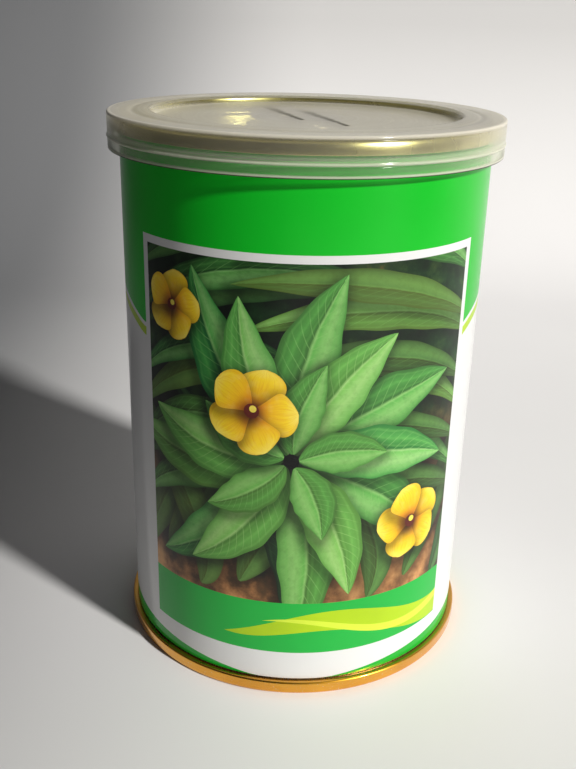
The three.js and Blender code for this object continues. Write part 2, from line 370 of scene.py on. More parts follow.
def overcap_veil(sh, facing, out, z):
    """How far the plastic hides what is behind it: more at a slant and where it is thick."""
    veil = sh.level(sh.math("POWER", facing, 2.2), 0.0, 1.0, 0.07, 0.66)
    foot = sh.span(z, CAP_FOOT + 0.62, CAP_FOOT + 0.40)
    ridge = sh.span(sh.gap(z, CAP_BEAD * MM), 0.32, 0.10)
    shoulder = sh.times(sh.span(z, CAP_TOP - 0.7, CAP_TOP - 0.15),
                       sh.span(out, CAP_RADIUS - 0.9, CAP_RADIUS - 0.3))
    thick = sh.math("MAXIMUM", sh.math("MAXIMUM", foot, ridge), shoulder)
    catch = sh.times(sh.span(z, CAP_BEAD + 0.2, CAP_BEAD + 0.4),
                     sh.span(z, CAP_BEAD + 1.3, CAP_BEAD + 0.9))
    groove = CAP_GROOVE_RADIUS - CAP_GROOVE_HALF
    rim = sh.times(sh.span(out, groove, groove + 2.0), sh.span(z, CAP_TOP - 0.7, CAP_TOP - 0.2))
    lip = sh.span(sh.gap(out, CAP_CREST_RADII[0] * MM), 0.6, 0.2)
    for place, more in ((thick, 0.50), (catch, 0.14), (rim, 0.16), (lip, -0.20)):
        veil = sh.plus(veil, sh.times(place, more), clamp=True)
    return veil


def overcap_plastic():
    """Translucent natural polyethylene: clear straight on, milkier at a slant and where it is thick, with
    painted shade along its foot and over the ring-pull.
    """
    sh = Shader("OvercapPlastic")
    place = sh.place()
    arc, out, z = sh.round_place(CAP_RADIUS)
    cloud = sh.noise(place, 45.0, 3.0)
    lines = sh.noise(sh.vector(sh.times(arc, 0.01), 0.0, z), 4500.0, 2.0)
    scuffs = sh.noise(sh.scaled(place, (1.0, 0.12, 1.0)), 1500.0, 3.0, 0.6)
    rings = sh.noise(sh.vector(out, 0.0, 0.0), 1100.0, 2.0)
    # Painted shade over the ring-pull: it darkens and clouds the plastic and dulls its gloss there
    tab_shade = tab_contact_shade(sh, place)
    milk = sh.blend(cloud, (0.84, 0.79, 0.69), (0.94, 0.90, 0.81))
    # Painted shade: a thin dark band along the foot's lower edge, standing in for its shadowed underside
    under = sh.span(z, CAP_FOOT + 0.26, CAP_FOOT + 0.14)
    milk = sh.mix(sh.math("MAXIMUM", tab_shade, under), milk, (0.05, 0.045, 0.03))
    height = sh.plus(cloud, sh.times(scuffs, 0.10))
    normal = sh.bump(sh.plus(height, sh.times(rings, 0.06)), 0.00015, 0.3)
    normal = sh.bump(lines, 0.00003, 0.7, normal)
    facing = sh.put("ShaderNodeLayerWeight", {"Blend": 0.5}).outputs["Facing"]
    veil = overcap_veil(sh, facing, out, z)
    veil = sh.times(veil, sh.level(tab_shade, 0.0, 1.0, 1.0, 1.5), clamp=True)
    veil = sh.plus(veil, sh.level(scuffs, 0.60, 0.80, 0.0, 0.10), clamp=True)
    veil = sh.plus(veil, sh.level(rings, 0.3, 0.7, -0.02, 0.03), clamp=True)
    clear = sh.put("ShaderNodeBsdfTransparent", {"Color": (0.93, 0.93, 0.89)}).outputs[0]
    spread = sh.put("ShaderNodeBsdfDiffuse", {"Color": milk}).outputs[0]
    through = sh.put("ShaderNodeBsdfTranslucent", {"Color": milk}).outputs[0]
    body = sh.put("ShaderNodeMixShader", {0: 0.3, 1: spread, 2: through}).outputs[0]
    inside = sh.put("ShaderNodeMixShader", {0: veil, 1: clear, 2: body}).outputs[0]
    gloss = sh.put("ShaderNodeBsdfGlossy", {"Roughness": 0.10, "Normal": normal}).outputs[0]
    mirror = sh.level(sh.math("POWER", facing, 5.0), 0.0, 1.0, 0.04, 0.5)
    mirror = sh.times(mirror, sh.level(tab_shade, 0.0, 1.0, 1.0, 0.3))
    return sh.surface(sh.put("ShaderNodeMixShader", {0: mirror, 1: inside, 2: gloss}).outputs[0])


def seed_coat():
    """Matt seed coats, dark grey-green with paler bloom."""
    sh = Shader("SeedCoat")
    place = sh.place()
    bloom = sh.noise(place, 700.0, 4.0)
    patch = sh.noise(place, 160.0, 2.0)
    tone = sh.mix(sh.level(patch, 0.35, 0.65), (0.035, 0.042, 0.025), (0.10, 0.12, 0.06))
    tone = sh.mix(sh.level(bloom, 0.5, 0.8, 0.0, 0.5), tone, (0.20, 0.22, 0.15))
    return sh.surface(sh.principled(Base_Color=tone, Roughness=0.8, Normal=sh.bump(bloom, 0.0001)))


# Inks of the label. Each is varnished, and reads the soft print shading of its mesh.

def varnished(sh, colour):
    """Gloss varnish over an ink, with a faint waviness of the paper under it."""
    place = sh.place()
    shade = sh.attribute("shade", "Fac")
    grey = sh.vector(shade, shade, shade)
    printed = sh.mix(1.0, colour, grey, "MULTIPLY")
    wave = sh.noise(place, 55.0, 2.0)
    grain = sh.noise(place, 2500.0, 2.0)
    height = sh.plus(wave, sh.times(grain, 0.006))
    return sh.surface(sh.principled(
        Base_Color=printed, Roughness=0.5, Specular_IOR_Level=0.1, Coat_Weight=0.6,
        Coat_Roughness=0.08, Coat_IOR=1.5, Normal=sh.bump(height, 0.0002, 0.25)))


def flat_ink(name, colour, spread=0.05, scale=70.0):
    """One printed colour with slight unevenness."""
    sh = Shader(name)
    cloud = sh.noise(sh.place(), scale, 4.0)
    dark = tuple(c * (1 - spread) for c in colour)
    light = tuple(min(1.0, c * (1 + spread)) for c in colour)
    return varnished(sh, sh.blend(cloud, dark, light))


def ground_ink():
    """Behind the leaves: warm earth at the foot of the picture, deep green shade towards its top."""
    sh = Shader("GroundInk")
    place = sh.place()
    z = sh.split(place)[2]
    big = sh.noise(place, 75.0, 3.0)
    small = sh.noise(place, 420.0, 5.0, 0.65)
    blend = sh.plus(big, sh.times(sh.minus(small, 0.5), 0.35))
    earth = sh.ramp(blend, [
        (0.32, (0.02, 0.02, 0.01)), (0.44, (0.12, 0.055, 0.02)), (0.54, (0.38, 0.17, 0.06)),
        (0.68, (0.74, 0.38, 0.14)),
    ])
    shade = sh.ramp(blend, [
        (0.34, (0.002, 0.008, 0.003)), (0.52, (0.010, 0.045, 0.012)), (0.62, (0.04, 0.10, 0.02)),
        (0.72, (0.30, 0.20, 0.05)),
    ])
    height = sh.plus(z, sh.times(sh.minus(big, 0.5), 0.03))
    return varnished(sh, sh.mix(sh.level(height, 0.044, 0.060), earth, shade))


def leaf_ink(name, deep, middle, pale, rib, veins=16.0):
    """A leaf seen from above: lit and shaded halves, pale midrib, side veins, ridges and mottling."""
    sh = Shader(name)
    along, across, seed = sh.split(sh.attribute("chart"))
    place = sh.place()
    wander = sh.times(sh.minus(sh.noise(place, 160.0, 2.0), 0.5), 0.35)
    side = sh.plus(sh.level(across, -1.0, 1.0), sh.times(wander, 0.25))
    base = sh.ramp(side, [
        (0.0, deep), (0.22, middle), (0.455, deep), (0.5, rib), (0.545, pale), (0.70, rib), (1.0, middle),
    ])
    width = sh.math("ABSOLUTE", across)
    ridge = sh.math("SINE", sh.times(sh.plus(across, wander), 21.0))
    base = sh.mix(sh.level(ridge, 0.2, 1.0, 0.0, 0.28), base, pale)
    slant = sh.minus(sh.times(along, veins), sh.times(width, 2.4))
    comb = sh.gap(sh.math("FRACT", sh.plus(slant, wander)), 0.5)
    vein = sh.times(sh.level(comb, 0.07, 0.0), sh.level(width, 0.95, 0.5, 0.0, 0.55))
    base = sh.mix(vein, base, rib)
    mottle = sh.noise(place, 900.0, 4.0, 0.6)
    base = sh.mix(sh.level(mottle, 0.45, 0.8, 0.0, 0.35), base, deep)
    base = sh.mix(sh.level(width, 0.86, 1.0, 0.0, 0.6), base, deep)
    return varnished(sh, sh.mix(sh.times(seed, 0.22), base, (0.36, 0.50, 0.06)))


def petal_ink():
    """A yellow petal: warm throat, fine rays and a pale, folded edge."""
    sh = Shader("PetalInk")
    along, across, seed = sh.split(sh.attribute("chart"))
    place = sh.place()
    ray = sh.noise(sh.vector(sh.times(along, 0.8), sh.times(across, 6.0), seed), 3.0, 3.0)
    base = sh.ramp(along, [
        (0.0, (0.30, 0.05, 0.01)), (0.16, (0.75, 0.22, 0.01)), (0.40, (0.92, 0.52, 0.01)),
        (0.75, (0.96, 0.68, 0.02)), (1.0, (0.98, 0.80, 0.12)),
    ])
    base = sh.mix(sh.level(ray, 0.45, 0.75, 0.0, 0.55), base, (0.78, 0.36, 0.01))
    fold = sh.level(sh.math("ABSOLUTE", across), 0.75, 1.0, 0.0, 0.5)
    base = sh.mix(fold, base, (0.70, 0.34, 0.01))
    cloud = sh.noise(place, 500.0, 3.0)
    return varnished(sh, sh.mix(sh.level(cloud, 0.5, 0.8, 0.0, 0.2), base, (1.0, 0.86, 0.30)))


# Label artwork: flat regions in label coordinates, arc length from the front and height

def bezier(points, count):
    """Points of a Bezier curve of any degree."""
    controls = np.array(points, float)
    t = np.linspace(0.0, 1.0, count)[:, None]
    n = len(controls) - 1
    curve = np.zeros((count, 2))
    for i, control in enumerate(controls):
        curve += math.comb(n, i) * t ** i * (1 - t) ** (n - i) * control
    return curve


def divided(outline, longest=1.2):
    """The same outline run anticlockwise, with no edge longer than the label's roundness allows."""
    corners = np.array(outline, float)
    turned = np.roll(corners, -1, axis=0)
    if (corners[:, 0] * turned[:, 1] - turned[:, 0] * corners[:, 1]).sum() < 0:
        corners = corners[::-1]
        turned = np.roll(corners, -1, axis=0)
    points = []
    for start, end in zip(corners, turned):
        steps = max(1, math.ceil(np.linalg.norm(end - start) / longest))
        points += [start + (end - start) * k / steps for k in range(steps)]
    return np.array(points)


class Region:
    """A printed area: outline, ink, and the chart that places a point along and across it."""

    def __init__(self, outline, ink, chart=None, seed=0.0, frame_ink=None, shadow=0.0):
        self.outline = divided(outline)
        self.ink, self.frame_ink = ink, frame_ink
        self.chart, self.seed = chart, seed
        self.shadow = shadow


def blade(spine, half_width, ink, seed=0.0, shadow=0.6):
    """A region of varying width along a spine: leaf, petal or stem."""
    ahead = np.gradient(spine, axis=0)
    ahead /= np.linalg.norm(ahead, axis=1)[:, None]
    side = np.stack([-ahead[:, 1], ahead[:, 0]], axis=1)
    reach = side * half_width[:, None]
    outline = np.concatenate([spine + reach, (spine - reach)[::-1]])
    keep = np.linalg.norm(outline - np.roll(outline, 1, axis=0), axis=1) > 0.02
    fractions = np.linspace(0.0, 1.0, len(spine))

    def chart(points):
        gaps = ((points[:, None, :] - spine[None, :, :]) ** 2).sum(axis=2)
        nearest = gaps.argmin(axis=1)
        away = points - spine[nearest]
        step = np.linalg.norm(np.gradient(spine, axis=0)[nearest], axis=1) * (len(spine) - 1)
        along = fractions[nearest] + (away * ahead[nearest]).sum(axis=1) / step
        width = np.maximum(np.interp(along, fractions, half_width), 0.15)
        across = -(away * side[nearest]).sum(axis=1) / width
        return np.stack([np.clip(along, 0, 1), np.clip(across, -1, 1)], axis=1)

    return Region(outline[keep], ink, chart, seed, "ground", shadow)


def leaf(spine_points, width, ink, seed=0.0, fullness=0.85):
    """A lance-shaped leaf on a short stalk, its edge slightly waved."""
    t = np.linspace(0.0, 1.0, 44)
    half = width * np.sin(np.pi * t ** fullness) ** 0.85 + 0.35 * (1 - t)
    half *= 1 + 0.035 * np.sin(2 * np.pi * (4.5 * t + seed))
    return blade(bezier(spine_points, 44), half, ink, seed)


def disc(centre, radius, ink, shadow=0.4):
    """A round region, charted from its centre outwards."""
    turns = np.linspace(0, 2 * np.pi, 28, endpoint=False)
    ring = np.stack([centre[0] + radius * np.sin(turns), centre[1] + radius * np.cos(turns)], axis=1)

    def chart(points):
        away = points - np.array(centre)
        turn = np.arctan2(away[:, 0], away[:, 1]) / np.pi
        return np.stack([np.hypot(away[:, 0], away[:, 1]) / radius, turn], axis=1)

    return Region(ring, ink, chart, 0.0, "ground", shadow)


def blossom(centre, radius, turn, petals=5):
    """A five-petalled yellow flower with a dark throat and a stamen."""
    parts = []
    for k in range(petals):
        a = turn + 2 * math.pi * k / petals
        out = Vector((math.sin(a), math.cos(a)))
        lean = Vector((out.y, -out.x)) * 0.12 * radius
        tip = Vector(centre) + out * radius
        middle = Vector(centre) + out * 0.55 * radius + lean
        t = np.linspace(0.0, 1.0, 22)
        half = 0.46 * radius * np.sin(np.pi * t ** 1.5) ** 0.7 + 0.04 * radius
        parts.append(blade(bezier([centre, middle, tip], 22), half, "petal", k / petals))
    parts.append(disc(centre, 0.17 * radius, "throat"))
    parts.append(disc((centre[0] + 0.03 * radius, centre[1] + 0.05 * radius), 0.08 * radius, "sun"))
    return parts


# Layout of the label, as arc lengths from the front and heights
HALF_TURN = math.pi * LABEL_RADIUS
LAP_ARC = 4.75
LABEL_LEFT, LABEL_RIGHT = -HALF_TURN - LAP_ARC, HALF_TURN + LAP_ARC
PANEL_LEFT, PANEL_RIGHT, PANEL_TOP = -34.0, 37.2, 90.7
PANEL_BORDER = 1.5
STRIP_FOOT, STRIP_TOP = 9.3, 21.0
PICTURE_LEFT, PICTURE_RIGHT = PANEL_LEFT + PANEL_BORDER, PANEL_RIGHT - PANEL_BORDER
PICTURE_TOP = PANEL_TOP - PANEL_BORDER


def eased_in(arc, start, spread):
    """0 as far as start degrees from the front, then rising towards 1."""
    turn = abs(arc) / LABEL_RADIUS * 180 / math.pi
    return 1 - math.exp(-max(turn - start, 0.0) / spread)


def green_edge(arc):
    """Height of the green field's lower edge beside and behind the panel."""
    return 73.3 + 7.0 * eased_in(arc, 55.0, 26.0)


def foot_wave(arc):
    """Height of the green wave that rises from the foot away from the front."""
    return LABEL_FOOT + 6.2 * eased_in(arc, 12.0, 70.0)


def rectangle(left, low, right, high):
    return [(left, low), (right, low), (right, high), (left, high)]


def band(start, end, low, high, count=60):
    """Outline between two edge functions of the arc length."""
    arcs = np.linspace(start, end, count)
    return [(a, low(a)) for a in arcs] + [(a, high(a)) for a in arcs[::-1]]


# The picture's rosette: its crown, and for each whorl its leaf count, turn, reach, half width and ink
ROSETTE_CROWN = (-1.0, 52.0)
ROSETTE_WHORLS = (
    (7, 0.25, 38.0, 5.6, "leaf"), (6, 0.55, 31.0, 5.2, "bright_leaf"), (5, 0.15, 19.0, 4.0, "leaf"),
)
BLOSSOMS = ((-8.5, 61.5, 8.6, 0.3), (24.5, 36.0, 8.0, 0.9), (-25.5, 79.0, 6.6, 0.1))


def rosette_spine(turn, length):
    """Control points of a leaf that leaves the crown at this turn and bends to its right."""
    ahead = np.array([math.sin(turn), math.cos(turn)])
    aside = np.array([ahead[1], -ahead[0]])
    crown = np.array(ROSETTE_CROWN)
    middle = crown + length * (0.5 * ahead - 0.10 * aside)
    return [crown + 1.5 * ahead, middle, crown + length * (ahead + 0.10 * aside)]


def picture_regions():
    """A made-up planting scene: arching blades, a rosette of broad leaves and three blossoms."""
    rng = random.Random(11)
    regions = []
    for k in range(9):
        start = PICTURE_LEFT - 4 + 8.6 * k
        rise = rng.uniform(10, 22)
        low = rng.uniform(STRIP_TOP - 2, STRIP_TOP + 8)
        points = [(start, low), (start + 9, low + rise), (start + 26 * rng.choice((-1, 1)), low + 46)]
        regions.append(leaf(points, rng.uniform(3.2, 4.8), "shade_leaf", rng.random()))
    for k in range(8):
        for edge, way in ((PICTURE_LEFT - 3, 1), (PICTURE_RIGHT + 3, -1)):
            low = 38 + 6.6 * k + rng.uniform(-2, 2)
            reach = rng.uniform(34, 52)
            bend = (edge + way * 0.45 * reach, low + rng.uniform(12, 19))
            tip = (edge + way * reach, low + rng.uniform(2, 12))
            ink = "back_leaf" if (k + (way > 0)) % 2 else "shade_leaf"
            regions.append(leaf([(edge, low), bend, tip], rng.uniform(2.6, 3.7), ink, rng.random(), 1.0))
    for count, first_turn, reach, width, ink in ROSETTE_WHORLS:
        for k in range(count):
            turn = first_turn + 2 * math.pi * k / count + rng.uniform(-0.10, 0.10)
            length = reach * rng.uniform(0.92, 1.06)
            regions.append(leaf(rosette_spine(turn, length), width, ink, rng.random(), 0.95))
    for x, z, radius, turn in BLOSSOMS:
        regions += blossom((x, z), radius, turn)
    return regions


def ribbon_regions():
    """A plain two-toned wave along the right of the green strip."""
    def middle(arc):
        return 14.6 + 2.3 * math.sin((arc + 5) / 8.2)

    def swell(arc, start, full):
        return full * (1 - math.exp(-max(arc - start, 0.0) / 12.0))

    start = -14.0
    wide = band(start, PICTURE_RIGHT + 1, lambda a: middle(a) - swell(a, start, 2.9),
                lambda a: middle(a) + swell(a, start, 2.5), 60)
    slim = band(start + 8, PICTURE_RIGHT + 1, lambda a: middle(a + 9) - swell(a, start + 8, 0.9),
                lambda a: middle(a + 9) + swell(a, start + 8, 1.0), 60)
    return [Region(outline, ink, frame_ink="strip_green")
            for outline, ink in ((wide, "lime"), (slim, "pale_lime"))]


def label_regions():
    """Everything printed on the label, from the paper up."""
    ends = LABEL_LEFT - 1, LABEL_RIGHT + 1
    return [
        Region(rectangle(LABEL_LEFT, LABEL_FOOT, LABEL_RIGHT, LABEL_TOP), "white"),
        Region(band(*ends, green_edge, lambda a: LABEL_TOP + 1, 130), "green"),
        Region(band(*ends, lambda a: green_edge(a) - 2.6, lambda a: green_edge(a) - 0.9, 130), "lime"),
        Region(band(*ends, lambda a: LABEL_FOOT - 1, foot_wave, 130), "wave_green"),
        Region(rectangle(PANEL_LEFT, STRIP_FOOT - 3, PANEL_RIGHT, PANEL_TOP), "white"),
        Region(rectangle(PICTURE_LEFT, STRIP_FOOT, PICTURE_RIGHT, STRIP_TOP), "strip_green"),
        *ribbon_regions(),
        Region(rectangle(PICTURE_LEFT, STRIP_TOP, PICTURE_RIGHT, PICTURE_TOP), "ground"),
        *picture_regions(),
    ]


def outline_distance(outline, points):
    """Distance from each point to a closed outline, negative inside it."""
    start, end = outline, np.roll(outline, -1, axis=0)
    edge = end - start
    to_point = points[:, None, :] - start[None, :, :]
    share = np.clip((to_point * edge).sum(2) / np.maximum((edge ** 2).sum(1), 1e-12), 0, 1)
    gap = np.sqrt(((to_point - share[..., None] * edge) ** 2).sum(2)).min(1)
    above = (start[None, :, 1] > points[:, 1:2]) != (end[None, :, 1] > points[:, 1:2])
    rise = np.where(np.abs(edge[:, 1]) < 1e-12, 1e-12, edge[:, 1])
    cross = start[None, :, 0] + (points[:, 1:2] - start[None, :, 1]) * (edge[:, 0] / rise)[None, :]
    inside = (above & (points[:, 0:1] < cross)).sum(1) % 2 == 1
    return np.where(inside, -gap, gap)


SHADOW_SHIFT = np.array([0.55, 0.75])
SHADOW_SOFTNESS = 1.5


def print_shade(points, casters):
    """How far the regions above darken these points: soft contact shadows, as in a photograph."""
    shade = np.ones(len(points))
    moved = points + SHADOW_SHIFT
    for region in casters:
        low, high = region.outline.min(0) - 4, region.outline.max(0) + 4
        near = ((moved > low) & (moved < high)).all(1)
        if near.any():
            gap = np.maximum(outline_distance(region.outline, moved[near]), 0.0)
            shade[near] *= 1 - region.shadow * np.exp(-(gap / SHADOW_SOFTNESS) ** 2)
    return shade


def label_points():
    """Points that keep the label round, closer together where the picture is."""
    columns = np.linspace(LABEL_LEFT, LABEL_RIGHT, 193)
    rows = np.linspace(LABEL_FOOT, LABEL_TOP, 24)
    points = [(a, z) for a in columns for z in rows]
    for a in np.arange(PICTURE_LEFT + 0.5, PICTURE_RIGHT, 1.0):
        points += [(a, z) for z in np.arange(STRIP_TOP + 0.5, PICTURE_TOP, 1.0)]
    return points


def lift(arc):
    """How far the label stands off at its lap, where its right end lies over its left one."""
    start = HALF_TURN - LAP_ARC - 1.2
    return LABEL_LAP * min(max(arc - start, 0.0), 1.0)


def wrapped(arc, z, inset):
    """The place on the tin of a point of the flat label."""
    radius = LABEL_RADIUS + lift(arc) - inset
    turn = arc / LABEL_RADIUS
    return radius * math.sin(turn), -radius * math.cos(turn), z


def add_print(mesh, regions, top, spots):
    """Stores each region's chart, and the soft shade of the regions above it, for its ink to read."""
    shade = np.ones(len(mesh.loops))
    chart = np.zeros((len(mesh.loops), 3))
    ground = [region.ink for region in regions].index("ground")
    for k in sorted(set(top)):
        region = regions[k]
        loops = np.flatnonzero(np.repeat(np.array(top) == k, 3))
        if region.chart:
            chart[loops, :2] = region.chart(spots[loops])
            chart[loops, 2] = region.seed
        if k >= ground:
            shade[loops] = print_shade(spots[loops], [r for r in regions[k + 1:] if r.shadow > 0])
    mesh.attributes.new("shade", "FLOAT", "CORNER").data.foreach_set("value", shade)
    mesh.attributes.new("chart", "FLOAT_VECTOR", "CORNER").data.foreach_set("vector", chart.reshape(-1))


def set_round_normals(mesh, outer_count):
    """Gives the label's faces the normals of the true cylinder, and its rim flat ones."""
    normals = []
    for polygon in mesh.polygons:
        way = 1 if polygon.index < outer_count else -1
        for v in polygon.vertices:
            x, y, _ = mesh.vertices[v].co
            rim = polygon.index >= 2 * outer_count
            normals.append(polygon.normal.copy() if rim else Vector((x, y, 0.0)).normalized() * way)
    mesh.normals_split_custom_set(normals)


def printed_label(inks):
    """The label as one thin closed sheet, each of its regions in its own ink."""
    regions = label_regions()
    frames = {region.ink: k for k, region in enumerate(regions) if region.frame_ink is None}
    points, outlines = label_points(), []
    for region in regions:
        outlines.append(list(range(len(points), len(points) + len(region.outline))))
        points += [tuple(p) for p in region.outline]
    flat, triangles, owners_of = triangulated(points, outlines)
    outer, top = [], []
    for face, owners in zip(triangles, owners_of):
        if 0 in owners:
            outer.append(face)
            top.append(max(k for k in owners if frames.get(regions[k].frame_ink, k) in owners))
    count = len(flat)
    vertices = [wrapped(a, z, inset) for inset in (0.0, LABEL_THICKNESS) for a, z in flat]
    faces = outer + [[v + count for v in reversed(face)] for face in outer]
    faces += [[b, a, a + count, b + count] for a, b in open_edges(outer)]
    used = sorted({v for face in faces for v in face})
    renumber = {v: i for i, v in enumerate(used)}
    faces = [[renumber[v] for v in face] for face in faces]
    piece = mesh_object("printed_label", [vertices[v] for v in used], faces, *inks.values())
    names = list(inks)
    slots = [names.index(regions[k].ink) for k in top]
    slots += [names.index("paper_back")] * (len(faces) - len(outer))
    piece.data.polygons.foreach_set("material_index", slots)
    add_print(piece.data, regions, top, flat[np.array(outer).reshape(-1)])
    set_round_normals(piece.data, len(outer))
    finished(piece, "label")


# Metal pieces

def domed_crown(width=1.0, height=2.35, steps=10):
    """Quarter oval from the top of a seam down its outer wall, as [radius, depth]."""
    turns = [math.pi / 2 * k / steps for k in range(steps + 1)]
    return [[SEAM_RADIUS - width * (1 - math.sin(t)), height * (1 - math.cos(t))] for t in turns]


# Panels of the ends from the middle out, and the upper one's score, as [radius, depth, easing]
PANEL_DEPTH = 3.0
STEP_DEPTH = PANEL_DEPTH + 0.35
COVER_STEPS = ([0, STEP_DEPTH], [30.0, STEP_DEPTH, 0.5], [30.8, PANEL_DEPTH, 0.5])
COVER_SCORE = ([32.2, PANEL_DEPTH], [32.35, PANEL_DEPTH + 0.12, 0.04], [32.5, PANEL_DEPTH])
FOOT_STEPS = ([0, PANEL_DEPTH], [14.0, PANEL_DEPTH, 0.6], [14.8, STEP_DEPTH, 0.6],
              [23.0, STEP_DEPTH, 0.6], [23.8, PANEL_DEPTH, 0.6])
SINK_RADIUS, SINK_DEPTH = 34.5, 4.35
CHUCK_WALL = BODY_RADIUS - 0.42
HOOK_END = 1.1


def end_outline(upper):
    """Section of an end as [radius, depth, easing], from its outer face's middle to its inner one's."""
    steps = COVER_STEPS if upper else FOOT_STEPS
    score = COVER_SCORE if upper else ()
    crown = domed_crown() if upper else [[SEAM_RADIUS, 0.0, 0.75]]
    hook_low, hook_in, hook_out = SEAM_HEIGHT - SHEET, BODY_RADIUS + 0.4, BODY_RADIUS + 0.9
    return [
        *steps, *score, [33.4, PANEL_DEPTH, 0.5], [SINK_RADIUS - 0.45, 4.2, 0.4],
        [SINK_RADIUS, SINK_DEPTH, 0.3], [SINK_RADIUS + 0.45, 4.1, 0.4],
        [CHUCK_WALL - SHEET, 0.45, 0.5], [CHUCK_WALL + 0.05, 0.0, 0.5],
        *crown, [SEAM_RADIUS, SEAM_HEIGHT, 0.45], [BODY_RADIUS + 0.1, SEAM_HEIGHT, 0.25],
        [BODY_RADIUS + 0.1, HOOK_END, 0.1], [hook_in, HOOK_END, 0.1], [hook_in, hook_low, 0.1],
        [hook_out, hook_low, 0.1], [hook_out, 0.34, 0.1], [CHUCK_WALL + 0.12, 0.34, 0.1],
        [CHUCK_WALL, 0.7, 0.2], [SINK_RADIUS + 0.75, 4.3, 0.3], [SINK_RADIUS, 4.68, 0.4],
        [SINK_RADIUS - 0.75, SINK_DEPTH, 0.4], [33.3, PANEL_DEPTH + SHEET, 0.4],
        *([c[0], c[1] + SHEET, *c[2:]] for c in steps[::-1]),
    ]


def end_plate(upper):
    """An end turned from its section, at the top of the tin or mirrored at its foot."""
    placed = [[c[0], CAN_HEIGHT - c[1] if upper else c[1], *c[2:]] for c in end_outline(upper)]
    return turned_mesh(rounded(placed[::-1] if upper else placed))


def bottom_end(material):
    turned_piece("lower_end", [end_plate(False)], material, "bottom_end")


# Ring-pull, along the radius of the tin where its node lies
TAB_NOSE = -31.2
TAB_LENGTH = 39.0
TAB_TOP = tab_high[2]
TAB_MIDDLE = (TAB_TOP + tab_low[2]) / 2
TAB_BEAD = 0.42
TAB_NOSE_RADIUS = 4.8
TAB_RING_RADIUS = 8.6
TAB_SHOULDER = 14.0
HOLE_START, HOLE_END, HOLE_HALF = 22.4, 30.9, 4.8
RIVET_PLACE = 6.0
RIVET_POST, RIVET_HEAD, RIVET_HOLE = 1.9, 2.9, 2.4


def tab_place(u, v):
    """A point at u from the tab's nose and v across it, on the tin."""
    along = -(TAB_NOSE + u)
    c, s = math.cos(TAB_TURN), math.sin(TAB_TURN)
    return v * c - along * s, v * s + along * c


def top_end(material):
    root = CAN_HEIGHT - STEP_DEPTH - 0.15
    rivet = rounded([
        [0, root], [RIVET_POST + 1.5, root, 0.4], [RIVET_POST + 0.1, root + 0.5, 0.3],
        [RIVET_POST, TAB_TOP - 0.45], [RIVET_HEAD, TAB_TOP - 0.4, 0.1],
        [RIVET_HEAD - 0.2, TAB_TOP - 0.12, 0.25], [0, TAB_TOP - 0.1],
    ])
    post = turned_mesh(rivet, 48, centre=tab_place(RIVET_PLACE, 0.0))
    turned_piece("upper_end", [end_plate(True), post], material, "top_end")


def tin_body(material):
    inside, flange, hook, hook_end = BODY_RADIUS - SHEET, 0.45, BODY_RADIUS + 0.8, 2.1
    low = [[inside, flange + 0.25, 0.2], [inside + 0.2, flange, 0.2], [hook, flange, 0.2],
           [hook, hook_end, 0.1], [hook - SHEET, hook_end, 0.1], [hook - SHEET, flange + SHEET, 0.1],
           [BODY_RADIUS, flange + SHEET, 0.2]]
    high = [[c[0], CAN_HEIGHT - c[1], c[2]] for c in low[::-1]]
    tube = turned_mesh(rounded(low + high, closed=True, steps=3), closed=True)
    turned_piece("tin_body", [tube], material, "can_body")


def tube_loop(points, radius, sides=10):
    """A closed round bead along a loop of (u, v, z) points in the tab's own frame."""
    vertices, faces = [], []
    count = len(points)
    for i in range(count):
        before, here, after = (Vector(points[(i + k) % count]) for k in (-1, 0, 1))
        ahead = (after - before).normalized()
        side = Vector((ahead.y, -ahead.x, 0.0)).normalized()
        for k in range(sides):
            a = 2 * math.pi * k / sides
            place = here + side * (radius * math.cos(a)) + Vector((0, 0, radius * math.sin(a)))
            x, y = tab_place(place.x, place.y)
            vertices.append((x, y, place.z))
    for i, k in itertools.product(range(count), range(sides)):
        here, after, beside = i * sides, (i + 1) % count * sides, (k + 1) % sides
        faces.append([here + k, here + beside, after + beside, after + k])
    return vertices, faces


def plate_between(outer, holes, low, high):
    """A flat plate with holes, from loops of (u, v) points."""
    points, loops = [], []
    for loop in [outer, *holes]:
        loops.append(list(range(len(points), len(points) + len(loop))))
        points += loop
    flat, triangles, owners_of = triangulated(points, loops)
    kept = [face for face, owners in zip(triangles, owners_of) if list(owners) == [0]]
    count = len(flat)
    vertices = [(*tab_place(u, v), z) for z in (high, low) for u, v in flat]
    # tab_place turns the (u, v) plane over, so the upper faces run backwards here
    faces = [face[::-1] for face in kept] + [[v + count for v in face] for face in kept]
    faces += [[a, b, b + count, a + count] for a, b in open_edges(kept)]
    return vertices, faces


def arc(centre, radius, start, steps, sweep=math.pi):
    """Points of an arc about a place on the tab's middle line."""
    turns = [start + sweep * k / steps for k in range(steps + 1)]
    return [(centre + radius * math.cos(a), radius * math.sin(a)) for a in turns]


def tab_outline(inset):
    """Loop round the ring-pull, this far inside its edge."""
    nose, ring = TAB_NOSE_RADIUS - inset, TAB_RING_RADIUS - inset
    ring_centre = TAB_LENGTH - TAB_RING_RADIUS
    side = bezier([(TAB_NOSE_RADIUS, -nose), (TAB_SHOULDER, -nose), (TAB_SHOULDER, -ring),
                   (ring_centre, -ring)], 16)
    side = [tuple(p) for p in side[1:-1]]
    return [*arc(TAB_NOSE_RADIUS, nose, math.pi / 2, 12), *side,
            *arc(ring_centre, ring, -math.pi / 2, 20), *((u, -v) for u, v in side[::-1])]


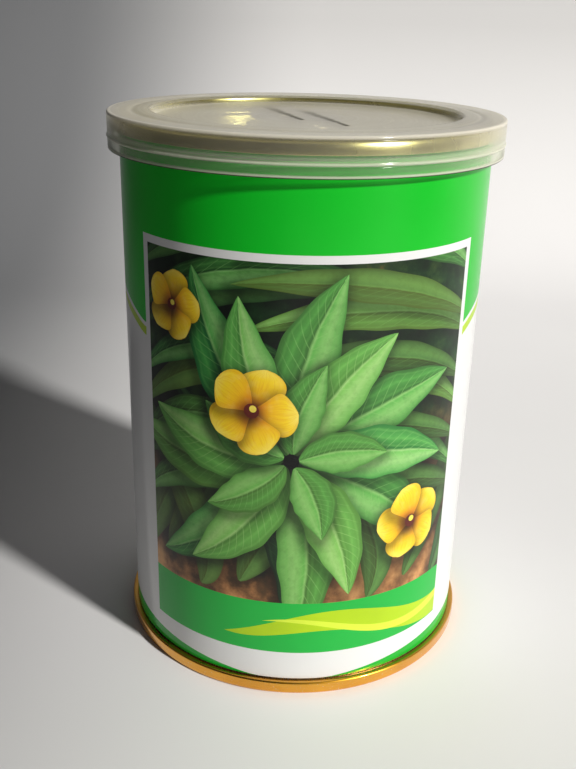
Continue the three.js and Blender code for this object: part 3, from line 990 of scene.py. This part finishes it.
def ring_pull(material):
    """Pressed steel tab with rolled edges, a finger hole and a hole for the rivet's post."""
    hole = arc(HOLE_END, HOLE_HALF, -math.pi / 2, 12) + arc(HOLE_START, HOLE_HALF, math.pi / 2, 12)
    rivet_hole = arc(RIVET_PLACE, RIVET_HOLE, 0.0, 24, 2 * math.pi)[:-1]
    edge = tab_outline(TAB_BEAD)
    parts = [plate_between(edge, [hole, rivet_hole], TAB_MIDDLE - 0.2, TAB_MIDDLE + 0.12)]
    for loop in (edge, hole):
        parts.append(tube_loop([(u, v, TAB_MIDDLE) for u, v in loop], TAB_BEAD))
    finished(mesh_object("ring_pull", *joined(parts), material), "pull_tab")


def overcap(material):
    """Press-on lid: recessed panel, crested rim with a shallow groove, skirt, bead and rolled foot."""
    wall, under = CAP_RADIUS - CAP_WALL, CAP_TOP - CAP_WALL
    crest_in, crest_out = CAP_CREST_RADII
    groove, half = CAP_GROOVE_RADIUS, CAP_GROOVE_HALF
    inside = [
        [0, CAP_PANEL - CAP_WALL], [CAP_PANEL_RADIUS - 0.4, CAP_PANEL - CAP_WALL, 0.4],
        [crest_in + 0.1, CAP_CREST - CAP_WALL - 0.1, 0.5], [crest_out - 0.2, CAP_CREST - CAP_WALL, 0.5],
        [groove, under - 0.02, 0.6], [wall, under, 0.5], [wall, CAP_BEAD + 0.8, 0.2],
        [wall - CAP_CATCH, CAP_BEAD + 0.3, 0.2], [wall - CAP_CATCH, CAP_BEAD, 0.2],
        [wall, CAP_BEAD - 0.5, 0.2], [wall, CAP_FOOT, 0.12],
    ]
    outside = [
        [CAP_RADIUS, CAP_FOOT, 0.2], [CAP_RADIUS, CAP_BEAD - 0.25, 0.1],
        [CAP_BEAD_RADIUS, CAP_BEAD - 0.05, 0.1], [CAP_BEAD_RADIUS, CAP_BEAD + 0.1, 0.1],
        [CAP_RADIUS, CAP_BEAD + 0.3, 0.1], [CAP_RADIUS, CAP_TOP, 0.45], [groove + half, CAP_TOP, 0.4],
        [groove, CAP_TOP - 0.13, 0.4], [groove - half, CAP_TOP + 0.06, 0.4],
        [crest_out, CAP_CREST, 0.5], [crest_in, CAP_CREST, 0.35], [CAP_PANEL_RADIUS, CAP_PANEL, 0.35],
        [0, CAP_PANEL],
    ]
    lid = turned_mesh(rounded(inside + outside))
    turned_piece("overcap", [lid], material, "overcap_lid")


# The seeds: how far apart they lie, their layers, and the lower end's panel that their bed lies on
SEED_STEP = 4.5
SEED_ROWS = 9
SEED_LAYERS = 2
SEED_LAYER_RISE = 1.6
SINK_INNER = 33.2


def seed_bed(radius, top):
    """The settled mass under the single seeds."""
    foot, ledge = seed_low[2] + 0.02, seed_low[2] + 1.15
    return turned_mesh(rounded([
        [0, foot], [SINK_INNER - 0.4, foot, 0.3], [SINK_INNER, ledge, 0.3], [radius, ledge, 0.4],
        [radius, top - 2.6, 0.6], [0, top - 1.6],
    ]), 96)


def loose_seeds(material):
    """A settled bed with its top two layers as single round seeds."""
    rng = random.Random(5)
    radius = seed_high[0] - 0.3
    top = seed_high[2] - 3.2
    parts = [seed_bed(radius, top)]
    ball = bmesh.new()
    bmesh.ops.create_icosphere(ball, subdivisions=2, radius=1.0)
    unit = [v.co.copy() for v in ball.verts]
    unit_faces = [[v.index for v in f.verts] for f in ball.faces]
    ball.free()
    rows = range(-SEED_ROWS, SEED_ROWS + 1)
    for layer, i, j in itertools.product(range(SEED_LAYERS), rows, rows):
        x = SEED_STEP * (i + 0.5 * (j % 2) + 0.5 * layer) + rng.uniform(-0.3, 0.3)
        y = SEED_STEP * 0.87 * (j + 0.4 * layer) + rng.uniform(-0.3, 0.3)
        if math.hypot(x, y) > radius - 2.4:
            continue
        heap = 1.4 * math.cos(math.pi * math.hypot(x, y) / 90)
        z = top - 1.9 + heap + SEED_LAYER_RISE * (layer - 1) + rng.uniform(-0.25, 0.25)
        size = Vector((rng.uniform(2.15, 2.4), rng.uniform(2.0, 2.25), rng.uniform(1.9, 2.15)))
        turn = Matrix.Rotation(rng.uniform(0, math.pi), 3, Vector((rng.random(), 1, rng.random())))
        middle = Vector((x, y, z))
        parts.append(([tuple(turn @ (p * size) + middle) for p in unit], unit_faces))
    finished(mesh_object("loose_seeds", *joined(parts), material), "seed_fill")


# Stage, lights and camera. Turns are to the right of the front and rises from level, in degrees.
STAGE_REACH, STAGE_BACK, STAGE_BEND, STAGE_HEIGHT = 3000.0, 420.0, 180.0, 1000.0
KEY_TURN, KEY_RISE, KEY_SPREAD, KEY_STRENGTH = 51, 31, 5.0, 4.0
FILL_TURN, FILL_RISE, FILL_POWER = -50, 50, 0.03
ROOM_STRENGTH = 0.035
WARM_WHITE, COOL_WHITE, ROOM_WHITE = (1.0, 0.985, 0.94), (0.93, 0.95, 1.0), (0.93, 0.94, 1.0)


def pale_floor():
    """Near white by the tin; darker farther off in front, on the backdrop and at its left: painted shade
    for a dim room there, which also keeps it from lighting the tin's shaded side.
    """
    sh = Shader("PaleFloor")
    place = sh.place()
    x, y, z = sh.split(place)
    cloud = sh.noise(place, 6.0, 3.0)
    tone = sh.blend(cloud, (0.88, 0.865, 0.875), (0.92, 0.91, 0.915))
    # Painted shade: the floor far off in front is dark, as in a dim room before the tin
    front = sh.times(sh.level(sh.reach(x, y), 0.20, 0.60, smooth=True), sh.level(y, 0.12, -0.16))
    tone = sh.mix(front, tone, (0.20, 0.20, 0.205))
    # Painted shade: the backdrop darker than the floor, and floor and backdrop darker again towards the
    # left
    tone = sh.mix(sh.level(z, 0.01, 0.12), tone, (0.62, 0.61, 0.61))
    tone = sh.mix(sh.level(x, 0.01, -0.15, smooth=True), tone, (0.17, 0.173, 0.182))
    tone = sh.mix(sh.level(x, -0.15, -0.40), tone, (0.06, 0.06, 0.065))
    return sh.surface(sh.principled(Base_Color=tone, Roughness=0.7))


def stage():
    """A floor that sweeps up into a backdrop."""
    profile = [(-STAGE_REACH, 0.0)]
    for k in range(13):
        a = math.pi / 2 * k / 12
        profile.append((STAGE_BACK - STAGE_BEND * (1 - math.sin(a)), STAGE_BEND * (1 - math.cos(a))))
    profile.append((STAGE_BACK, STAGE_HEIGHT))
    vertices = [(x, y, z) for x in (-STAGE_REACH, STAGE_REACH) for y, z in profile]
    n = len(profile)
    faces = [[i, n + i, n + i + 1, i + 1] for i in range(n - 1)]
    mesh_object("stage_floor", vertices, faces, pale_floor())


def light(kind, name, turn, rise, distance, power, colour, **settings):
    """A soft light aimed at the tin, turn degrees right of the front and rise degrees up."""
    data = bpy.data.lights.new(name, kind)
    data.energy = power
    data.color = colour
    for key, value in settings.items():
        setattr(data, key, value)
    a, e = math.radians(turn), math.radians(rise)
    way = Vector((math.sin(a) * math.cos(e), -math.cos(a) * math.cos(e), math.sin(e)))
    lamp = linked(name, data)
    lamp.location = Vector((0, 0, CAN_HEIGHT / 2 * MM)) + way * distance
    lamp.rotation_euler = way.to_track_quat("Z", "Y").to_euler()


def lights():
    light("SUN", "key", KEY_TURN, KEY_RISE, 1.0, KEY_STRENGTH, WARM_WHITE,
          angle=math.radians(KEY_SPREAD))
    light("AREA", "fill", FILL_TURN, FILL_RISE, 1.1, FILL_POWER, COOL_WHITE, size=0.9)
    world = bpy.data.worlds.new("SoftRoom")
    world.use_nodes = True
    background = world.node_tree.nodes["Background"]
    background.inputs["Color"].default_value = (*ROOM_WHITE, 1.0)
    background.inputs["Strength"].default_value = ROOM_STRENGTH
    bpy.context.scene.world = world


# The camera's place and turn, solved from the outlines of the tin in the photograph
CAMERA_PLACE = (0.0, -192.11, 130.12)
CAMERA_PITCH, CAMERA_YAW, CAMERA_ROLL = 21.99, -0.703, 1.363
CAMERA_LENS = 44.26


def camera():
    data = bpy.data.cameras.new("photo_view")
    data.lens = CAMERA_LENS
    data.sensor_width = 36.0
    data.clip_start = 0.01
    view = linked("photo_view", data)
    pitch, yaw, roll = (math.radians(a) for a in (CAMERA_PITCH, CAMERA_YAW, CAMERA_ROLL))
    view.matrix_world = (
        Matrix.Translation(Vector(CAMERA_PLACE) * MM) @ Matrix.Rotation(-yaw, 4, "Z")
        @ Matrix.Rotation(math.pi / 2 - pitch, 4, "X") @ Matrix.Rotation(roll, 4, "Z"))
    bpy.context.scene.camera = view


# Leaf inks: the leaf's deep, middle, pale and rib colours
LEAF_INKS = {
    "shade_leaf": ((0.004, 0.022, 0.008), (0.014, 0.075, 0.022), (0.04, 0.15, 0.04), (0.07, 0.20, 0.05)),
    "leaf": ((0.010, 0.110, 0.025), (0.045, 0.27, 0.05), (0.10, 0.40, 0.08), (0.22, 0.50, 0.15)),
    "bright_leaf": ((0.022, 0.17, 0.035), (0.08, 0.36, 0.07), (0.17, 0.50, 0.11), (0.31, 0.59, 0.20)),
    "back_leaf": ((0.008, 0.06, 0.014), (0.035, 0.18, 0.035), (0.10, 0.32, 0.07), (0.17, 0.42, 0.12)),
}


def label_inks():
    """The label's materials by the names that its regions call them."""
    inks = {
        "white": flat_ink("WhiteInk", (0.74, 0.74, 0.74), 0.02),
        "paper_back": flat_ink("PaperBack", (0.62, 0.60, 0.56), 0.05),
        "green": flat_ink("GreenInk", (0.001, 0.47, 0.015), 0.04),
        "wave_green": flat_ink("WaveGreenInk", (0.003, 0.40, 0.025), 0.05),
        "strip_green": flat_ink("StripGreenInk", (0.010, 0.42, 0.05), 0.05),
        "lime": flat_ink("LimeInk", (0.42, 0.62, 0.006), 0.08),
        "pale_lime": flat_ink("PaleLimeInk", (0.66, 0.82, 0.05), 0.06),
        "ground": ground_ink(),
    }
    for name, colours in LEAF_INKS.items():
        inks[name] = leaf_ink(name.title().replace("_", "") + "Ink", *colours)
    inks["petal"] = petal_ink()
    inks["throat"] = flat_ink("ThroatInk", (0.16, 0.02, 0.01), 0.2, 400.0)
    inks["sun"] = flat_ink("SunInk", (0.95, 0.75, 0.10), 0.15, 500.0)
    return inks


def build():
    gold = gold_lacquer("GoldLacquer", (0.68, 0.28, 0.010), (0.86, 0.42, 0.030), (0.94, 0.58, 0.10))
    pale_gold = gold_lacquer("PaleGoldLacquer", (0.56, 0.50, 0.19), (0.80, 0.74, 0.33),
                             (0.97, 0.93, 0.56), 0.20)
    bottom_end(gold)
    top_end(pale_gold)
    tin_body(bright_metal("Tinplate", (0.42, 0.42, 0.40), (0.62, 0.62, 0.60), 3000.0))
    printed_label(label_inks())
    ring_pull(bright_metal("RingPullSteel", (0.34, 0.31, 0.25), (0.55, 0.51, 0.43), 1500.0))
    overcap(overcap_plastic())
    loose_seeds(seed_coat())
    stage()
    lights()
    camera()
    bpy.context.scene.view_settings.view_transform = "Standard"


build()
